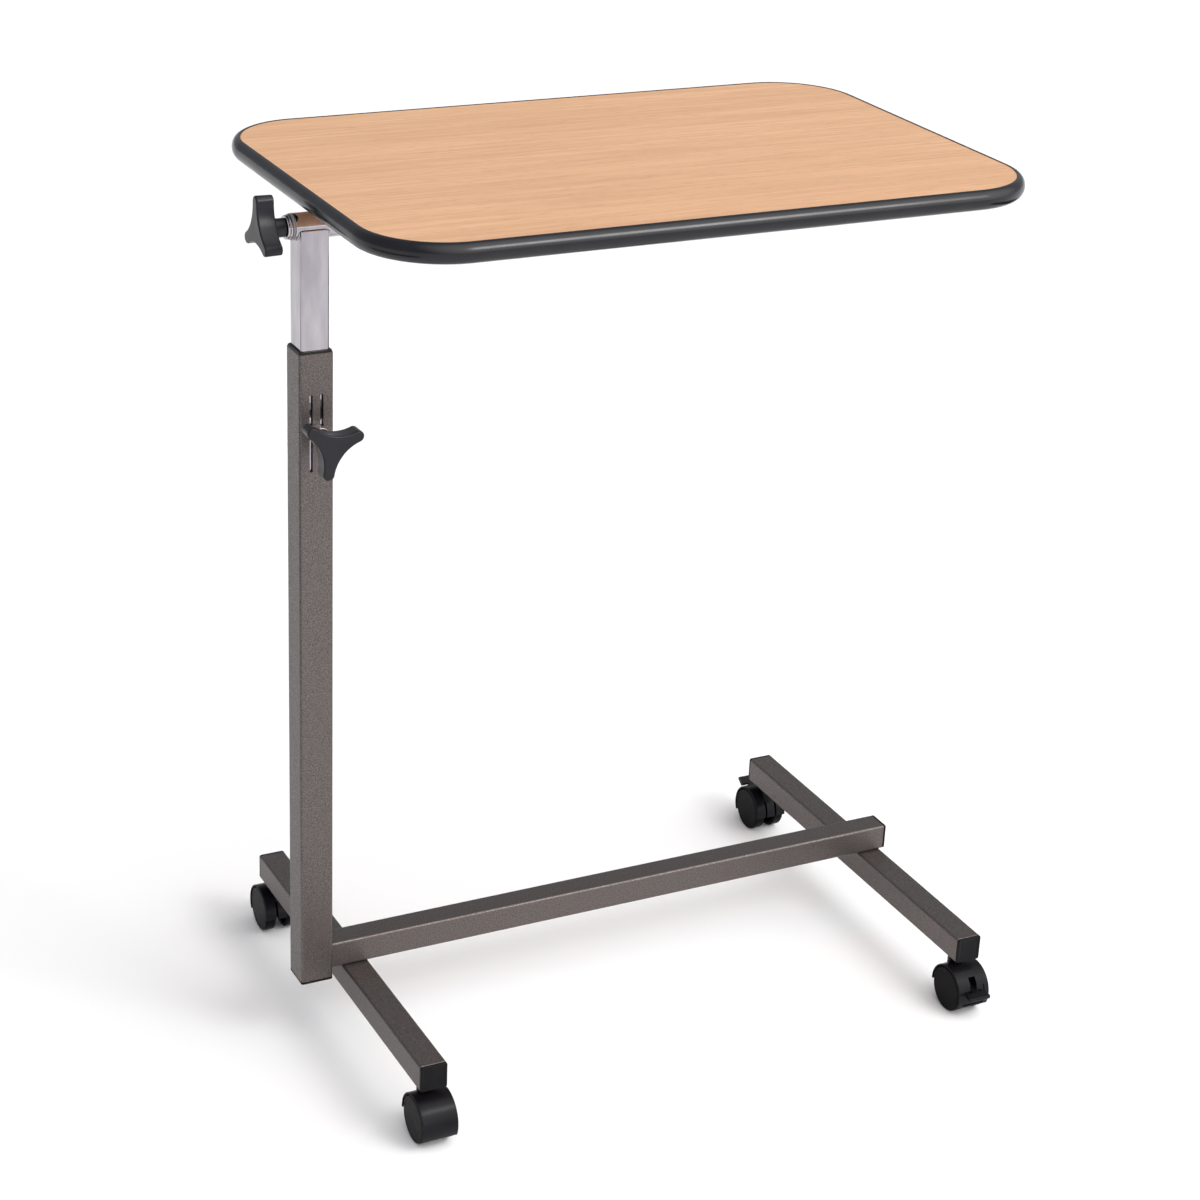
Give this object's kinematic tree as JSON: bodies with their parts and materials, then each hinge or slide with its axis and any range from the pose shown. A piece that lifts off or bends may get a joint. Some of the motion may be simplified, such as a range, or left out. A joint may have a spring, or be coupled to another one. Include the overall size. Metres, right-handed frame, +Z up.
{
  "type": "overbed table",
  "caption": "Height-adjustable overbed table on castors, with a side column, a round-cornered wooden top that tilts, and a screw knob for each setting.",
  "frame": {"origin": "centre of the object's box on the floor", "axes": "+Z up; +X along the table's length, from the column side to the free end; -Y the side of the height knob"},
  "size_m": [0.6464, 0.4512, 0.8025],
  "materials": {
    "frame_paint": "grey-brown textured metallic paint",
    "chrome": "bright chrome plate",
    "wood_laminate": "satin light beech grain along the length",
    "edge_black": "satin black flexible edge moulding",
    "cap_plastic": "matt black moulded",
    "knob_plastic": "satin black moulded",
    "castor_plastic": "satin black nylon",
    "nylon": "dark nylon",
    "zinc_steel": "zinc plated"
  },
  "bodies": {
    "base": {"foot_left": "frame_paint", "foot_right": "frame_paint", "base_bar": "frame_paint", "column_tube": "frame_paint", "foot_cap_front_left": "cap_plastic", "foot_cap_front_right": "cap_plastic", "foot_cap_rear_left": "cap_plastic", "foot_cap_rear_right": "cap_plastic", "bar_end_cap": "cap_plastic", "column_bottom_cap": "cap_plastic", "column_guide_bush": "nylon", "clamp_boss": "zinc_steel", "castor_nut_front_left": "zinc_steel", "castor_nut_front_right": "zinc_steel", "castor_nut_rear_left": "zinc_steel", "castor_nut_rear_right": "zinc_steel", "castor_stem_front_left": "zinc_steel", "castor_stem_front_right": "zinc_steel", "castor_stem_rear_left": "zinc_steel", "castor_stem_rear_right": "zinc_steel"},
    "mast": {"mast_tube": "chrome", "mast_glide_plug": "nylon", "tilt_sleeve": "chrome", "tilt_bush_left": "nylon", "tilt_bush_right": "nylon"},
    "top": {"top_panel": "wood_laminate", "edge_moulding": "edge_black", "tilt_shaft": "zinc_steel", "shaft_stop_ring": "zinc_steel", "shaft_saddle_left": "zinc_steel", "shaft_saddle_right": "zinc_steel", "saddle_screw_front_left": "zinc_steel", "saddle_screw_front_right": "zinc_steel", "saddle_screw_rear_left": "zinc_steel", "saddle_screw_rear_right": "zinc_steel"},
    "clamp_pad": {"clamp_pad": "nylon"},
    "height_knob": {"height_knob": "knob_plastic", "height_knob_stud": "zinc_steel"},
    "tilt_collar": {"tilt_collar": "chrome"},
    "tilt_knob": {"tilt_knob": "knob_plastic", "tilt_knob_stud": "zinc_steel"},
    "castor_front_left": {"castor_hood_front_left": "castor_plastic", "castor_axle_front_left": "zinc_steel"},
    "wheel_front_left_a": {"castor_wheel_front_left_a": "castor_plastic"},
    "wheel_front_left_b": {"castor_wheel_front_left_b": "castor_plastic"},
    "castor_front_right": {"castor_hood_front_right": "castor_plastic", "castor_axle_front_right": "zinc_steel"},
    "wheel_front_right_a": {"castor_wheel_front_right_a": "castor_plastic"},
    "wheel_front_right_b": {"castor_wheel_front_right_b": "castor_plastic"},
    "castor_rear_left": {"castor_hood_rear_left": "castor_plastic", "castor_axle_rear_left": "zinc_steel"},
    "wheel_rear_left_a": {"castor_wheel_rear_left_a": "castor_plastic"},
    "wheel_rear_left_b": {"castor_wheel_rear_left_b": "castor_plastic"},
    "castor_rear_right": {"castor_hood_rear_right": "castor_plastic", "castor_axle_rear_right": "zinc_steel"},
    "wheel_rear_right_a": {"castor_wheel_rear_right_a": "castor_plastic"},
    "wheel_rear_right_b": {"castor_wheel_rear_right_b": "castor_plastic"},
    "brake_lever_front_right": {"brake_lever_front_right": "castor_plastic"},
    "brake_lever_rear_right": {"brake_lever_rear_right": "castor_plastic"}
  },
  "joints": [
    {"name": "mast_height", "type": "slide", "parent": "base", "child": "mast", "axis": [0, 0, 1], "range_m": [-0.0905, 0.2975]},
    {"name": "top_tilt", "type": "hinge", "parent": "mast", "child": "top", "pos_m": [-0.27675, -0.00631, 0.7666], "axis": [1, 0, 0], "range_deg": [-45, 45]},
    {"name": "clamp_pad_travel", "type": "slide", "parent": "base", "child": "clamp_pad", "axis": [0, -1, 0], "range_m": [0, 0.0019]},
    {"name": "height_knob_turn", "type": "hinge", "parent": "clamp_pad", "child": "height_knob", "pos_m": [-0.27675, -0.00631, 0.5941], "axis": [0, -1, 0], "range_deg": [0, 540]},
    {"name": "tilt_collar_travel", "type": "slide", "parent": "top", "child": "tilt_collar", "axis": [-1, 0, 0], "range_m": [0, 0.0019]},
    {"name": "tilt_knob_turn", "type": "hinge", "parent": "tilt_collar", "child": "tilt_knob", "pos_m": [-0.27675, -0.00631, 0.7666], "axis": [-1, 0, 0], "range_deg": [0, 540]},
    {"name": "castor_swivel_front_left", "type": "hinge", "parent": "base", "child": "castor_front_left", "pos_m": [-0.23855, -0.17891, 0.052], "axis": [0, 0, 1], "continuous": true},
    {"name": "wheel_roll_front_left_a", "type": "hinge", "parent": "castor_front_left", "child": "wheel_front_left_a", "pos_m": [-0.23855, -0.19091, 0.0215], "axis": [1, 0, 0], "continuous": true},
    {"name": "wheel_roll_front_left_b", "type": "hinge", "parent": "castor_front_left", "child": "wheel_front_left_b", "pos_m": [-0.23855, -0.19091, 0.0215], "axis": [1, 0, 0], "continuous": true},
    {"name": "castor_swivel_front_right", "type": "hinge", "parent": "base", "child": "castor_front_right", "pos_m": [0.30605, -0.17891, 0.052], "axis": [0, 0, 1], "continuous": true},
    {"name": "wheel_roll_front_right_a", "type": "hinge", "parent": "castor_front_right", "child": "wheel_front_right_a", "pos_m": [0.30605, -0.19091, 0.0215], "axis": [1, 0, 0], "continuous": true},
    {"name": "wheel_roll_front_right_b", "type": "hinge", "parent": "castor_front_right", "child": "wheel_front_right_b", "pos_m": [0.30605, -0.19091, 0.0215], "axis": [1, 0, 0], "continuous": true},
    {"name": "castor_swivel_rear_left", "type": "hinge", "parent": "base", "child": "castor_rear_left", "pos_m": [-0.23855, 0.18229, 0.052], "axis": [0, 0, 1], "continuous": true},
    {"name": "wheel_roll_rear_left_a", "type": "hinge", "parent": "castor_rear_left", "child": "wheel_rear_left_a", "pos_m": [-0.23855, 0.19429, 0.0215], "axis": [1, 0, 0], "continuous": true},
    {"name": "wheel_roll_rear_left_b", "type": "hinge", "parent": "castor_rear_left", "child": "wheel_rear_left_b", "pos_m": [-0.23855, 0.19429, 0.0215], "axis": [1, 0, 0], "continuous": true},
    {"name": "castor_swivel_rear_right", "type": "hinge", "parent": "base", "child": "castor_rear_right", "pos_m": [0.30605, 0.18229, 0.052], "axis": [0, 0, 1], "continuous": true},
    {"name": "wheel_roll_rear_right_a", "type": "hinge", "parent": "castor_rear_right", "child": "wheel_rear_right_a", "pos_m": [0.30605, 0.19429, 0.0215], "axis": [1, 0, 0], "continuous": true},
    {"name": "wheel_roll_rear_right_b", "type": "hinge", "parent": "castor_rear_right", "child": "wheel_rear_right_b", "pos_m": [0.30605, 0.19429, 0.0215], "axis": [1, 0, 0], "continuous": true},
    {"name": "brake_press_front_right", "type": "hinge", "parent": "castor_front_right", "child": "brake_lever_front_right", "pos_m": [0.30605, -0.19991, 0.0285], "axis": [1, 0, 0], "range_deg": [-40, 0]},
    {"name": "brake_press_rear_right", "type": "hinge", "parent": "castor_rear_right", "child": "brake_lever_rear_right", "pos_m": [0.30605, 0.20329, 0.0285], "axis": [-1, 0, 0], "range_deg": [0, 40]}
  ],
  "couplings": [
    {"joint": "clamp_pad_travel", "follows": "height_knob_turn", "m_per_rad": 0.00019894},
    {"joint": "tilt_collar_travel", "follows": "tilt_knob_turn", "m_per_rad": 0.00019894}
  ]
}
